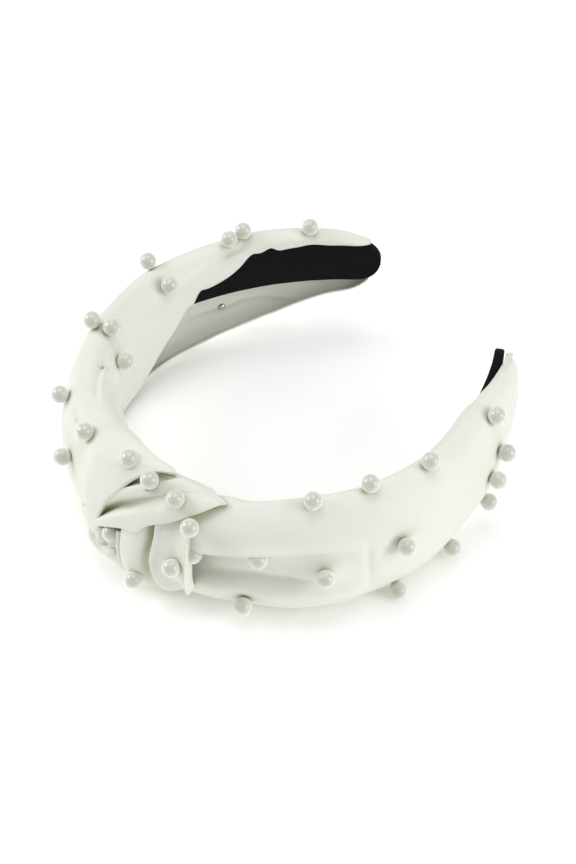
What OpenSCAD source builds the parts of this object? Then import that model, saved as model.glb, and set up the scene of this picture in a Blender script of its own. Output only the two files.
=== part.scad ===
// Knotted head band: a sprung plastic strip in a velvet sleeve, a gathered
// satin cover in two arms that meet in a knot, and riveted bead pearls.
// It lies on its lower edge: the crown points to -Y, the tips to +Y.

/* [Band] */
// Inside-to-centre radius of the crown arc
crown_r = 63; // [58:0.5:70]
// Half angle of the crown arc, in degrees
crown_half = 100; // [90:1:105]
// Radius of each arm beyond the crown arc
arm_r = 115; // [95:1:140]
// Angle that each arm turns through
arm_turn = 34; // [26:1:38]
// Height of the strip's centre line above the surface it lies on
strip_z = 32.5; // [31.5:0.5:33.5]
// Half width of the velvet sleeve
sleeve_half = 8.5; // [7.5:0.5:9]
// Thickness of the plastic strip
core_t = 1.6; // [1.2:0.1:1.7]

/* [Cover] */
// Thickness of the fabric with its turned edges
wall = 0.8; // [0.5:0.1:0.9]
// Width of the flat that the lower hem rests on
hem_flat = 2; // [1.5:0.5:3]
// Number of rings along one arm of the cover
rings = 34; // [20:1:40]

/* [Knot] */
// Distance along the strip from its middle to the knot's centre
knot_s = 15; // [0:1:18]
// Half length of the knot along the strip
knot_half = 17.3; // [16:0.1:17.5]
// Length left free between the knot's centre and each flex point
flex_gap = 18.8; // [18.8:0.1:20]

/* [Pearls] */
// Diameter of a pearl
pearl_d = 6; // [5:0.5:7]
// Radius of a rivet pin's shank
pin_r = 0.5; // [0.4:0.05:0.6]
// Radius of a rivet pin's domed head
head_r = 1.25; // [1:0.05:1.4]

/* [Hidden] */
$fn = 48;

deg = 180 / PI;
crown_len = crown_r * crown_half / deg;
band_half = crown_len + arm_r * arm_turn / deg;
mid_x = 0.64;
mid_y = 59.42;
core_half = sleeve_half - 0.7;
core_gap = 0.1;
sleeve_in = 1.9;
sleeve_out = 1.3;
hull_fn = 32;
small_fn = 24;
pearl_lift = 0.12;

// ---- the strip's line: s runs along it, n outward from it ----

// Heading of the strip's line at s, in degrees
function turn(s) = abs(s) <= crown_len
    ? s / crown_r * deg
    : sign(s) * (crown_half + (abs(s) - crown_len) / arm_r * deg);

// Outward direction at s
function out(s) = [sin(turn(s)), -cos(turn(s))];

// Point of the strip's line at s
function spine(s) = let (t = turn(s), t0 = sign(s) * crown_half)
    abs(s) <= crown_len
    ? [crown_r * sin(t), crown_r * (1 - cos(t))]
    : [crown_r * sin(t0) + arm_r * (sin(t) - sin(t0)),
       crown_r * (1 - cos(t0)) + arm_r * (cos(t0) - cos(t))];

// Point at s along the strip, n outward from it, at height z
function at(s, n, z) = [spine(s).x + n * out(s).x - mid_x,
                        spine(s).y + n * out(s).y - mid_y, z];

// ---- the cover's cross-section, as it changes along an arm ----

// Two tables each for top and bulge: the left cover, then the right one
cover_top = [[[0, 43], [30, 42.8], [65, 43.4], [100, 44.9], [135, 46.2], [160, 44.5], [180, 43]],
             [[0, 43], [30, 42.6], [65, 46.8], [100, 46.4], [135, 45.5], [160, 44], [180, 43]]];
cover_bottom = [[0, 0], [100, 0], [135, 6.5], [160, 15], [180, 22.3]];
cover_bulge = [[[0, 11.6], [30, 10.6], [65, 8.8], [100, 10.3], [135, 10.2], [160, 7.4], [180, 3.6]],
               [[0, 12], [30, 11.8], [65, 12], [100, 12.4], [135, 11.2], [160, 7.8], [180, 4.6]]];
cover_inset = [[0, 5.4], [20, 5.9], [60, 7], [90, 5.5], [115, 3.4], [180, 3.2]];
shoulder_drop = [[0, 5], [30, 6.5], [60, 8], [85, 8], [120, 3], [180, 2.4]];
lip_height = [[0, 4], [70, 4], [85, 7], [93, 14], [103, 26], [112, 32], [125, 37], [180, 38.5]];

// A profile's value at s, eased over a few millimetres either side
function eased(s, list) = let (a = abs(s))
    (lookup(a - 6, list) + 2 * lookup(a, list) + lookup(a + 6, list)) / 4;

// Number of the arm that s is on, in the tables with one list for each cover
function arm(s) = s < 0 ? 0 : 1;

// The bottom stays flat where the hem rests, so it isn't eased
function bottom_at(s) = lookup(abs(s), cover_bottom);

// Outer face of the cover at s. Angle -90 is the lower hem, 0 the outside,
// 90 the top fold, 180 the inner shoulder.
function face(s, a) =
    let (top = eased(s, cover_top[arm(s)]), low = bottom_at(s))
    a <= 90
    ? [1 + (eased(s, cover_bulge[arm(s)]) - 1) * cos(a), (top + low) / 2 + (top - low) / 2 * sin(a)]
    : [1 - (1 + eased(s, cover_inset)) * sin(a - 90),
       top - eased(s, shoulder_drop) * (1 - cos(a - 90))];

// Section's outer path at s: hem flat, outside, top fold, inner shoulder, lip
function section(s) = concat(
    [[1 - hem_flat, bottom_at(s)]],
    [for (a = [-90:15:90]) face(s, a)],
    [for (a = [110:20:170]) face(s, a)],
    [[-eased(s, cover_inset), min(eased(s, lip_height), face(s, 170).y - 1)]]);

// Unit normals of an open path, pointing away from the strip
function path_normals(p) = [for (i = [0:len(p) - 1])
    let (d = p[min(i + 1, len(p) - 1)] - p[max(i - 1, 0)]) [d.y, -d.x] / norm(d)];

// Closed ring of the cover's wall at s
function wall_ring(s) = let (p = section(s), q = path_normals(p), m = len(p) - 1) concat(
    [for (v = p) at(s, v.x, v.y)],
    [for (i = [m:-1:0]) let (v = p[i] - wall * (i == 0 ? [0, -1] : q[i])) at(s, v.x, v.y)]);

// Skins a list of rings of equal length into one closed solid
module skin(list) {
    m = len(list[0]);
    k = len(list);
    sides = [for (i = [0:k - 2], j = [0:m - 1])
        let (a = i * m + j, b = i * m + (j + 1) % m) [a, b, b + m, a + m]];
    half = m / 2;
    first_quads = [for (j = [0:half - 2]) [j + 1, j, m - 1 - j, m - 2 - j]];
    last_quads = [for (j = [0:half - 2]) let (o = (k - 1) * m)
        [o + j, o + j + 1, o + m - 2 - j, o + m - 1 - j]];
    polyhedron([for (r = list, p = r) p], concat(sides, first_quads, last_quads), convexity = 8);
}

// One arm of the cover, from s_start at the knot to s_end at the tip
module cover_arm(s_start, s_end) {
    list = [for (i = [0:rings]) wall_ring(s_start + (s_end - s_start) * i / rings)];
    skin(s_end > s_start ? list : [for (i = [rings:-1:0]) list[i]]);
}

// ---- the strip and its sleeve ----

strip_steps = 90;
tip_steps = 8;

// Stations of a strip with rounded tips that ends at s = end: [s, half width]
function stations(end, half) =
    let (tip = [for (k = [1:tip_steps])
        let (f = 90 * k / tip_steps) [end - half * (1 - cos(f)), half * sin(f)]])
    concat([for (t = tip) [-t[0], t[1]]],
           [for (i = [1:strip_steps - 1]) [(end - half) * (2 * i / strip_steps - 1), half]],
           [for (k = [tip_steps - 1:-1:0]) tip[k]]);

// Strip between n0 and n1 outward, of this half width, cut short by trim at each tip
module strip(n0, n1, half, trim) {
    skin([for (q = stations(band_half - trim, half))
        [for (c = [[n0, -1], [n1, -1], [n1, 1], [n0, 1]])
            at(q[0], c[0], strip_z + c[1] * q[1])]]);
}

module core_band() {
    color("gainsboro")
        strip(-core_t / 2, core_t / 2, core_half, 1);
}

module velvet_sleeve() {
    color("#101012")
        difference() {
            strip(-sleeve_in, sleeve_out, sleeve_half, 0);
            strip(-core_t / 2 - core_gap, core_t / 2 + core_gap, core_half + core_gap,
                  1 - core_gap);
        }
}

// ---- the cover's two arms ----

module cover_left() {
    color("#f0f1e8")
        cover_arm(knot_s - flex_gap, -band_half + 1.2);
}

module cover_right() {
    color("#f0f1e8")
        cover_arm(knot_s + flex_gap, band_half - 1.2);
}

// ---- the knot ----

// Height between the over band and the bands below it
split_z = 26;
// Nearest that the outer bands come to the strip's line
face_n = 2.2;
// Depth of the knot's back behind the strip's line
back_n = 5.2;

// Places children in the knot's frame: x along the strip, -y outward
module in_knot() {
    translate(at(knot_s, 0, 0))
        rotate([0, 0, turn(knot_s)])
            children();
}

// Block of the knot's outer side, between x0 and x1 and between z0 and z1
module knot_zone(x0, x1, z0, z1) {
    in_knot()
        translate([x0, -30, z0])
            cube([x1 - x0, 30 - face_n, z1 - z0]);
}

// Soft roll through a list of [s, n, z, r], within one zone of the knot
module roll(beads) {
    for (i = [0:len(beads) - 2])
        hull()
            for (b = [beads[i], beads[i + 1]])
                translate(at(b[0], b[1], b[2]))
                    sphere(r = b[3], $fn = hull_fn);
}

module knot_over_band() {
    color("#f3f4ec")
        intersection() {
            roll([[1, 6, 36, 8], [11, 8.5, 37, 8], [21, 8.5, 36, 7.5], [30, 5, 34, 7]]);
            knot_zone(-knot_half, knot_half, split_z + 0.1, 46);
        }
}

module knot_wrap_band() {
    color("#eceee2")
        intersection() {
            union() {
                roll([[17, 7, 24, 8.5], [20, 8.2, 16, 7.9], [21.5, 7.8, 8.6, 7.3]]);
                roll([[24, 8, 24.4, 7.6], [25.2, 8.4, 17, 7.6], [26, 7.8, 8.4, 7]]);
            }
            knot_zone(-5.8, knot_half, 0.8, split_z - 0.1);
        }
}

module knot_tuck() {
    color("#e9ebdd")
        intersection() {
            roll([[1, 7, 22, 8], [4, 8, 14, 8], [8, 7, 8, 7]]);
            knot_zone(-knot_half, -6, 0.8, split_z - 0.1);
        }
}

// Flat loop of fabric round the back of the strip, under the knot
module knot_inner_wrap() {
    low = 2.5;
    high = 44.6;
    clear = 0.2;
    corner = 2.4;
    color("#e6e8d8")
        knot_ring()
            difference() {
                union() {
                    translate([-back_n, low + corner])
                        square([back_n + 2, high - low - 2 * corner]);
                    translate([-back_n + corner, low])
                        square([back_n + 2 - corner, high - low]);
                    for (z = [low + corner, high - corner])
                        translate([-back_n + corner, z])
                            circle(r = corner);
                }
                translate([-sleeve_in - clear, strip_z - sleeve_half - clear])
                    square([sleeve_in + 2 * clear + sleeve_out + 1, 2 * sleeve_half + 2 * clear]);
            }
}

// Turns a section given as [n, z] round the crown arc, over the knot's length
module knot_ring() {
    span = 2 * knot_half / crown_r * deg;
    translate([-mid_x, crown_r - mid_y, 0])
        rotate([0, 0, turn(knot_s) - 90 - span / 2])
            rotate_extrude(angle = span)
                translate([crown_r, 0])
                    children();
}

// Row of hand stitches that hold the loop closed at the back of the knot
module knot_stitches() {
    thread_r = 0.28;
    stitch_l = 2.6;
    pitch = 2.94;
    first_z = 12;
    color("white")
        for (i = [0:4])
            translate(at(knot_s + 2, -back_n - 0.1, first_z + i * pitch))
                rotate([0, 0, turn(knot_s + 2)])
                    rotate([0, 90, 0])
                        cylinder(h = stitch_l, r = thread_r, center = true, $fn = small_fn);
}

// ---- the pearls and their rivets ----

// Pearls on an arm: [distance along the strip, angle round the cover's face]
left_pearls = [[152, 105], [128.4, 90], [122.4, 109], [93.9, 76], [93.5, 147], [60.3, 82],
               [59.7, 117], [54, 180], [33.1, 49], [11.8, 67], [17.1, 20],
               [140, 12], [112, 5], [84, -20], [158, -5], [122.3, -43], [143.2, -43], [100, -42],
               [72, -38], [60, -40]];
right_pearls = [[36, 17], [47.4, -33], [66.2, 77], [51.5, 29], [68.4, 2], [84, 83], [104.6, 77],
                [90.4, 13], [91.6, -54], [113.4, -56], [131.3, -44], [129.2, -2], [135.2, 14],
                [136, 59], [172, -66]];
// Pearls on the knot: [along, outward, height] of the pearl's centre, then of the
// point inside the fold that its pin is aimed at
knot_pearls = [[[18.2, 6.7, 47], [17, 8.5, 36.4]],
               [[27.3, 7.9, 45.2], [24.6, 7.1, 35.2]],
               [[33.3, 12.4, 39.8], [30, 5, 34]],
               [[9.1, 14.5, 22.2], [5.8, 7.6, 11.3]],
               [[29.4, 16.6, 23.6], [24.4, 8.4, 18]],
               [[18.9, 18.3, 12], [20.8, 8.2, 14]],
               [[8, 4.1, 47.2], [8, 7.8, 36.7]]];

// Point of the cover's outer face at s and angle a, and its unit normal
function face_point(s, a) = let (v = face(s, a)) at(s, v.x, v.y);
function face_normal(s, a) =
    let (along = face_point(s + 1, a) - face_point(s - 1, a),
         around = face_point(s, a + 1) - face_point(s, a - 1),
         c = cross(along, around))
    c / norm(c);

// Puts children with +Z along direction d, at point p
module aim(p, d) {
    translate(p)
        rotate([0, acos(d.z / norm(d)), atan2(d.y, d.x)])
            children();
}

module pearl() {
    socket_depth = 2.2;
    translate([0, 0, pearl_lift])
        difference() {
            translate([0, 0, pearl_d / 2])
                sphere(d = pearl_d);
            translate([0, 0, -0.1])
                cylinder(h = socket_depth + 0.1, r = pin_r + 0.08, $fn = small_fn);
        }
}

module rivet_pin() {
    shank_top = 2;
    dome_h = 0.8;
    translate([0, 0, -wall - 0.1]) {
        cylinder(h = wall + 0.1 + shank_top, r = pin_r, $fn = small_fn);
        difference() {
            translate([0, 0, head_r - dome_h])
                sphere(r = head_r);
            translate([-2 * head_r, -2 * head_r, 0])
                cube(4 * head_r);
        }
    }
}

// Places children at each of an arm's pearls
module on_arm(list, side) {
    for (p = list)
        aim(face_point(side * p[0], p[1]), face_normal(side * p[0], p[1]))
            children();
}

// Places children at each of the knot's pearls, facing out from the knot's middle
module on_knot() {
    for (p = knot_pearls) {
        centre = at(p[0].x, p[0].y, p[0].z);
        d = centre - at(p[1].x, p[1].y, p[1].z);
        aim(centre - d / norm(d) * (pearl_d / 2 + pearl_lift), d)
            children();
    }
}

module pearls_knot() {
    color("#fbfaf6") on_knot() pearl();
}

module pearls_left() {
    color("#fbfaf6") on_arm(left_pearls, -1) pearl();
}

module pearls_right() {
    color("#fbfaf6") on_arm(right_pearls, 1) pearl();
}

module rivet_pins_knot() {
    color("silver") on_knot() rivet_pin();
}

module rivet_pins_left() {
    color("silver") on_arm(left_pearls, -1) rivet_pin();
}

module rivet_pins_right() {
    color("silver") on_arm(right_pearls, 1) rivet_pin();
}

core_band();
velvet_sleeve();
cover_left();
cover_right();
knot_over_band();
knot_wrap_band();
knot_tuck();
knot_inner_wrap();
knot_stitches();
pearls_knot();
pearls_left();
pearls_right();
rivet_pins_knot();
rivet_pins_left();
rivet_pins_right();
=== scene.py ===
import math

import bmesh
import bpy
import numpy as np
from mathutils import Matrix, Vector, noise


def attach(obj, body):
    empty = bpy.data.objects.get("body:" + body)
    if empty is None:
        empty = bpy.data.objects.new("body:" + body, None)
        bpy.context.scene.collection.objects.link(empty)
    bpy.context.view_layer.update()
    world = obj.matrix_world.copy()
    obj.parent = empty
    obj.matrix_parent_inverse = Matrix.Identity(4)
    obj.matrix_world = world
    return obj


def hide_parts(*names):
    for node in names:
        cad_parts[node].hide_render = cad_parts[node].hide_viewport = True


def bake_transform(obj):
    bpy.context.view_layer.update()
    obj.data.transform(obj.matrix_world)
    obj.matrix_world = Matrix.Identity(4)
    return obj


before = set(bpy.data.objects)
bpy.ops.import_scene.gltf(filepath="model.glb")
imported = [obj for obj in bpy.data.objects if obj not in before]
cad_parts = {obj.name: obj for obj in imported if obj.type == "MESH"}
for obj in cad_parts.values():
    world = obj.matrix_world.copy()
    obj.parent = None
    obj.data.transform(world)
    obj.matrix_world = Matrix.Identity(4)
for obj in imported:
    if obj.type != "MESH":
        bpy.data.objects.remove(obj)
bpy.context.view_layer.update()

# Lengths in the tables are millimetres along the strip (s), outward from it (n) and above the table (z).
# On the knot, (s, a, off) is a place along the strip, an angle round the knot and a height over its surface.
MM = 0.001
# The strip's line: a round crown, then a flatter arc down each arm
CROWN_R, CROWN_HALF = 63.0, math.radians(100)
ARM_R, ARM_TURN = 115.0, math.radians(34)
CROWN_LEN = CROWN_R * CROWN_HALF
BAND_HALF = CROWN_LEN + ARM_R * ARM_TURN
# The front of that line lies this far left of the frame's origin and in front of it
MID_X, MID_Y = 0.64, 59.42
STRIP_Z, SLEEVE_HALF = 32.5, 8.5
PEARL_R = 3.0
# Thickness of the gathered covers and of the knot's cloth
COVER_THICK, KNOT_THICK = 0.7, 0.5
# Each arm bends between two places along the strip
FLEX = {"left_arm": (2, -13), "right_arm": (27, 42)}
FLEX_Z = 32
# Spline steps between the listed points of a section
SECTION_STEPS = 12

scene = bpy.context.scene
scene.view_settings.view_transform = "Standard"
scene.view_settings.look = "None"


# ---- the strip's line ----

def turn(s):
    """The strip's heading at s, in radians from the front."""
    s = np.asarray(s, float)
    return np.where(np.abs(s) <= CROWN_LEN, s / CROWN_R,
                    np.sign(s) * (CROWN_HALF + (np.abs(s) - CROWN_LEN) / ARM_R))


def at(s, n, z):
    """Points in metres for s, n and z in millimetres."""
    s, n, z = np.broadcast_arrays(np.asarray(s, float), np.asarray(n, float), np.asarray(z, float))
    t = turn(s)
    t0 = np.sign(s) * CROWN_HALF
    crown = np.abs(s) <= CROWN_LEN
    x = np.where(crown, CROWN_R * np.sin(t), CROWN_R * np.sin(t0) + ARM_R * (np.sin(t) - np.sin(t0)))
    y = np.where(crown, CROWN_R * (1 - np.cos(t)),
                 CROWN_R * (1 - np.cos(t0)) + ARM_R * (np.cos(t0) - np.cos(t)))
    x = x + n * np.sin(t) - MID_X
    y = y - n * np.cos(t) - MID_Y
    return np.stack([x, y, z], -1) * MM


# ---- the camera ----

# Angles in degrees, lengths in millimetres
CAMERA_AZIMUTH, CAMERA_ELEVATION, CAMERA_ROLL = 51.03, 44.27, 0.947
CAMERA_TARGET = (6.84, 1.13, 19.78)
CAMERA_DISTANCE = 635.16
CAMERA_LENS, CAMERA_SENSOR = 78.75, 36


def make_camera():
    az, el, roll = [math.radians(a) for a in (CAMERA_AZIMUTH, CAMERA_ELEVATION, CAMERA_ROLL)]
    back = Vector((math.sin(az) * math.cos(el), -math.cos(az) * math.cos(el), math.sin(el)))
    right = Vector((math.cos(az), math.sin(az), 0))
    up = back.cross(right)
    r = right * math.cos(roll) + up * math.sin(roll)
    u = up * math.cos(roll) - right * math.sin(roll)
    place = (Vector(CAMERA_TARGET) + back * CAMERA_DISTANCE) * MM
    cam = bpy.data.objects.new("camera", bpy.data.cameras.new("camera"))
    scene.collection.objects.link(cam)
    cam.matrix_world = Matrix.Translation(place) @ Matrix((r, u, back)).transposed().to_4x4()
    cam.data.lens = CAMERA_LENS
    cam.data.sensor_width = CAMERA_SENSOR
    cam.data.clip_start, cam.data.clip_end = 0.01, 10
    scene.camera = cam


make_camera()


# ---- small tools ----

def smooth(t):
    """Goes from 0 to 1 as t does, and stays flat outside."""
    t = np.clip(t, 0, 1)
    return t * t * (3 - 2 * t)


def look_up(pairs, where):
    """Reads a table of (place, value) pairs at other places."""
    places, values = zip(*pairs)
    return np.interp(where, places, values)


def between(table, stations):
    """The rows of a table {station: rows} at other stations."""
    keys = sorted(table)
    stack = np.array([table[k] for k in keys], float)
    flat = stack.reshape(len(keys), -1)
    out = np.stack([np.interp(stations, keys, flat[:, k]) for k in range(flat.shape[1])], 1)
    return out.reshape(len(stations), *stack.shape[1:])


def spline(points, per):
    """Catmull-Rom through rows of points: per steps in each gap. points is (k, ..., 3)."""
    p = np.concatenate([2 * points[:1] - points[1:2], points, 2 * points[-1:] - points[-2:-1]])
    rows = []
    for i in range(1, len(p) - 2):
        a, b, c, d = p[i - 1], p[i], p[i + 1], p[i + 2]
        for k in range(per):
            t = k / per
            rows.append(0.5 * (2 * b + (c - a) * t + (2 * a - 5 * b + 4 * c - d) * t * t
                               + (3 * b - a - 3 * c + d) * t ** 3))
    rows.append(points[-1])
    return np.array(rows)


def even(points, count):
    """The same line with count points, evenly spaced along it."""
    step = np.linalg.norm(np.diff(points, axis=0), axis=1)
    where = np.concatenate([[0], np.cumsum(step)])
    want = np.linspace(0, where[-1], count)
    return np.stack([np.interp(want, where, points[:, k]) for k in range(points.shape[1])], 1)


def blur(rows, sigma):
    """Gaussian smoothing down the first axis, sigma in rows."""
    half = int(3 * sigma) + 1
    w = np.exp(-0.5 * (np.arange(-half, half + 1) / sigma) ** 2)
    w /= w.sum()
    flat = rows.reshape(len(rows), -1)
    padded = np.concatenate([2 * flat[:1] - flat[half:0:-1], flat, 2 * flat[-1:] - flat[-2:-half - 2:-1]])
    smoothed = [np.convolve(padded[:, k], w, "valid") for k in range(flat.shape[1])]
    return np.stack(smoothed, 1).reshape(rows.shape)


def unit(vectors):
    """The same vectors with a length of 1."""
    return vectors / np.linalg.norm(vectors, axis=-1, keepdims=True)


def normals_of(grid, closed=False):
    """Unit normals of a grid of points (rows, columns, 3)."""
    du = np.gradient(grid, axis=0)
    if closed:
        dv = (np.roll(grid, -1, axis=1) - np.roll(grid, 1, axis=1)) / 2
    else:
        dv = np.gradient(grid, axis=1)
    n = np.cross(du, dv)
    return n / np.maximum(np.linalg.norm(n, axis=-1, keepdims=True), 1e-12)


def away_sign(grid, row, col, core):
    """1 where the grid's normal at one point faces away from the point core, else -1."""
    return math.copysign(1, normals_of(grid)[row, col] @ (grid[row, col] - core))


def new_object(name, mesh):
    mesh.polygons.foreach_set("use_smooth", [True] * len(mesh.polygons))
    piece = bpy.data.objects.new(name, mesh)
    scene.collection.objects.link(piece)
    return piece


def mesh_of(name, grid, closed=False):
    """A mesh over a grid of points (rows, columns, 3). A closed one goes round and has a cap at each end."""
    rows, cols = grid.shape[:2]
    faces = []
    span = cols if closed else cols - 1
    for i in range(rows - 1):
        for j in range(span):
            a, b = i * cols + j, i * cols + (j + 1) % cols
            faces.append((a, b, b + cols, a + cols))
    if closed:
        faces.append(tuple(range(cols - 1, -1, -1)))
        faces.append(tuple(range((rows - 1) * cols, rows * cols)))
    mesh = bpy.data.meshes.new(name)
    mesh.from_pydata(grid.reshape(-1, 3).tolist(), [], faces)
    mesh.update()
    return new_object(name, mesh)


def closed_mesh_of(name, grid):
    """A solid over a closed grid, with its normals pointing out."""
    piece = mesh_of(name, grid, closed=True)
    bm = bmesh.new()
    bm.from_mesh(piece.data)
    bmesh.ops.recalc_face_normals(bm, faces=bm.faces)
    bm.to_mesh(piece.data)
    bm.free()
    return piece


def thicken(piece, mm):
    mod = piece.modifiers.new("cloth_thickness", "SOLIDIFY")
    mod.thickness = mm * MM
    mod.offset = -1.0
    mod.use_even_offset = False
    mod.use_rim = True


def lumps(grid, scale, height, seed):
    """Gentle smooth unevenness, as a height for each point. scale and height are in millimetres."""
    flat = grid.reshape(-1, 3) / MM
    out = [noise.noise(Vector(p) / scale + Vector((seed, seed * 1.7, -seed))) for p in flat]
    return (np.array(out) * height * MM).reshape(grid.shape[:2])


def crease(grid, outside, points, width, depth, step):
    """Presses a valley into cloth along a line of (s, n, z) points, or a ridge where depth is negative.

    step lifts the cloth on one side of the line over the other, as a pleat does.
    """
    guide = spline(np.array(points, float), 8)
    line = at(guide[:, 0], guide[:, 1], guide[:, 2]) / MM
    flat = grid.reshape(-1, 3) / MM
    normal = (normals_of(grid) * outside).reshape(-1, 3)
    best = np.full(len(flat), 1e9)
    where = np.zeros(len(flat))
    side = np.zeros(len(flat))
    for i, (a, b) in enumerate(zip(line[:-1], line[1:])):
        run = b - a
        f = np.clip((flat - a) @ run / (run @ run), 0, 1)
        off = flat - (a + f[:, None] * run)
        d = np.linalg.norm(off, axis=1)
        near = d < best
        best[near] = d[near]
        where[near] = ((i + f) / (len(line) - 1))[near]
        side[near] = np.einsum("ij,ij->i", np.cross(normal, run / np.linalg.norm(run)), off)[near]
    # the crease fades over a fifth of its length at both ends, and the step's edge is 0.35 mm wide
    ends = smooth(where / 0.2) * smooth((1 - where) / 0.2)
    profile = np.exp(-(best / width) ** 2)
    lift = step * (0.5 + 0.5 * np.tanh(side / 0.35)) * ends
    move = (lift - depth * (0.35 + 0.65 * ends)) * profile
    return grid + (normal * (move * MM)[:, None]).reshape(grid.shape)


# ---- where the pearls sit: read from the CAD nodes ----

def separate_solids(node):
    """Vertex positions of each separate solid of a CAD node."""
    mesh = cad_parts[node].data
    co = np.array([v.co for v in mesh.vertices], float)
    # vertices at one place count as one
    key = {}
    same = np.array([key.setdefault(tuple(np.round(p, 6)), i) for i, p in enumerate(co)])
    parent = np.arange(len(co))

    def root(i):
        while parent[i] != i:
            parent[i] = parent[parent[i]]
            i = parent[i]
        return i

    for i, j in enumerate(same):
        parent[root(i)] = root(j)
    for e in mesh.edges:
        a, b = root(e.vertices[0]), root(e.vertices[1])
        if a != b:
            parent[a] = b
    groups = {}
    for i in range(len(co)):
        groups.setdefault(root(i), []).append(i)
    return [co[g] for g in groups.values()]


# Pearls half hidden in the right cover's fold. The CAD has each within FOLD_REACH of the first place
# (s, n, z), and here it sits at the second
IN_FOLD = [((36, 15.5, 29), (33.4, 11, 26.2)), ((51.5, 15.5, 34), (51.3, 11.2, 29.4))]
FOLD_REACH = 5


def seats(side):
    """(centre, outward direction, whether it is in the fold) for each pearl of one group."""
    pins = [p.mean(0) for p in separate_solids("rivet_pins_" + side)]
    found = []
    for solid in separate_solids("pearls_" + side):
        centre = (solid.min(0) + solid.max(0)) / 2
        pin = min(pins, key=lambda q: np.linalg.norm(q - centre))
        d = unit(centre - pin)
        folded = False
        for near, inside in IN_FOLD:
            if side == "right" and np.linalg.norm(centre - at(*near)) < FOLD_REACH * MM:
                centre = at(*inside)
                folded = True
        found.append((centre, d, folded))
    return found


PEARLS = {side: seats(side) for side in ("left", "right", "knot")}


def meet_pearls(grid, side, reach=7.0, limit=4.0):
    """Moves cloth so that it meets the seat of each pearl near it, by limit at most, within about reach."""
    sink, search = 0.25, 12
    dimple, dimple_width = 0.35, 2.6
    grid = grid.copy()
    for centre, d, folded in PEARLS[side]:
        if folded:
            continue
        n = normals_of(grid)
        gap = grid - centre
        dist = np.linalg.norm(gap, axis=-1)
        # the seat is on the pearl's inner side
        facing = -(gap @ d) / np.maximum(dist, 1e-9)
        score = dist + np.where(facing > 0.3, 0, 1)
        i, j = np.unravel_index(np.argmin(score), score.shape)
        if score[i, j] > search * MM:
            continue
        seat = centre - d * (PEARL_R - sink) * MM
        along = np.clip((seat - grid[i, j]) @ d, -limit * MM, limit * MM)
        r = np.linalg.norm(grid - grid[i, j], axis=-1) / MM
        same_side = np.clip((n @ d) * 2, 0, 1)
        grid += (np.exp(-(r / reach) ** 2) * same_side * along)[..., None] * d
        grid -= (dimple * MM * np.exp(-(r / dimple_width) ** 2) * same_side)[..., None] * d
    return grid


# ---- the knot's nominal surface: s along the strip, a round it, off outward ----

# The knot's section is an oval that leans back over its upper half and is flat behind
KNOT_N, KNOT_Z = 4, 24
KNOT_DEEP, KNOT_TALL = 12.3, 23
KNOT_LEAN, KNOT_TILT = 5, 4
KNOT_BACK, BACK_ROUND = -4.8, 0.8
# (s, angle) from where the top falls away behind
TOP_END = [(-8, 150), (0, 112), (5, 105), (10, 98), (15, 94), (20, 90), (25, 85.5), (30, 80.5), (35, 73),
           (40, 68)]


def knot_section(a):
    """n and z of the knot's section at angle a."""
    r = np.radians(a)
    n = KNOT_N + KNOT_DEEP * np.cos(r) - KNOT_LEAN * smooth((a + 35) / 70) * np.sin(r)
    n = KNOT_BACK + BACK_ROUND * np.logaddexp(0, (n - KNOT_BACK) / BACK_ROUND)
    return n, KNOT_Z + KNOT_TALL * np.sin(r) - KNOT_TILT * np.cos(r)


def knot(s, a, off):
    """Points in metres on the knot."""
    s, a, off = np.broadcast_arrays(np.asarray(s, float), np.asarray(a, float), np.asarray(off, float))
    # towards the right end the top falls away behind
    past = np.maximum(a - look_up(TOP_END, s), 0)
    off = off - 6.5 * (1 - np.exp(-past / 24)) * (1 - smooth((a - 125) / 35))
    # and its underside is drawn up there
    off = off - 3.6 * smooth((s - 22) / 8) * np.exp(-((a + 55) / 26) ** 2)
    n, z = knot_section(a)
    n1, z1 = knot_section(a + 1)
    n0, z0 = knot_section(a - 1)
    dn, dz = n1 - n0, z1 - z0
    length = np.hypot(dn, dz)
    return at(s, n + off * dz / length, z - off * dn / length)


def pleated(guides, along, across):
    """A band of cloth through guide lines, each a list of (s, a, off) on the knot."""
    lines = [even(knot(*spline(np.array(g, float), 12).T), along) for g in guides]
    return spline(np.array(lines), across)


# ---- materials ----

# Sockets of a Mix node for each kind of value: first input, second input, output
MIX_SOCKETS = {"FLOAT": (2, 3, 0), "RGBA": (6, 7, 2)}


def new_material(name):
    mat = bpy.data.materials.new(name)
    mat.use_nodes = True
    return mat, mat.node_tree


def feed(tree, socket, value):
    """Links a socket to another one, or sets it to a constant."""
    if isinstance(value, bpy.types.NodeSocket):
        tree.links.new(value, socket)
    else:
        socket.default_value = value


def surface(tree, values):
    """Links or sets inputs of the material's Principled node."""
    for name, value in values.items():
        feed(tree, tree.nodes["Principled BSDF"].inputs[name], value)


def add(tree, kind, **values):
    node = tree.nodes.new(kind)
    for k, v in values.items():
        if k in node.inputs:
            node.inputs[k].default_value = v
        else:
            setattr(node, k, v)
    return node


def texture(tree, kind="ShaderNodeTexNoise", **values):
    """A procedural texture in the piece's own coordinates."""
    node = add(tree, kind, **values)
    tree.links.new(add(tree, "ShaderNodeTexCoord").outputs["Object"], node.inputs["Vector"])
    return node.outputs["Fac"]


def ramp(tree, value, low, high, span=(0, 1)):
    """A colour that goes from low to high as value crosses the span."""
    node = add(tree, "ShaderNodeValToRGB")
    for stop, color, place in zip(node.color_ramp.elements, (low, high), span):
        stop.position = place
        stop.color = (*color, 1)
    feed(tree, node.inputs["Fac"], value)
    return node.outputs["Color"]


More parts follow.
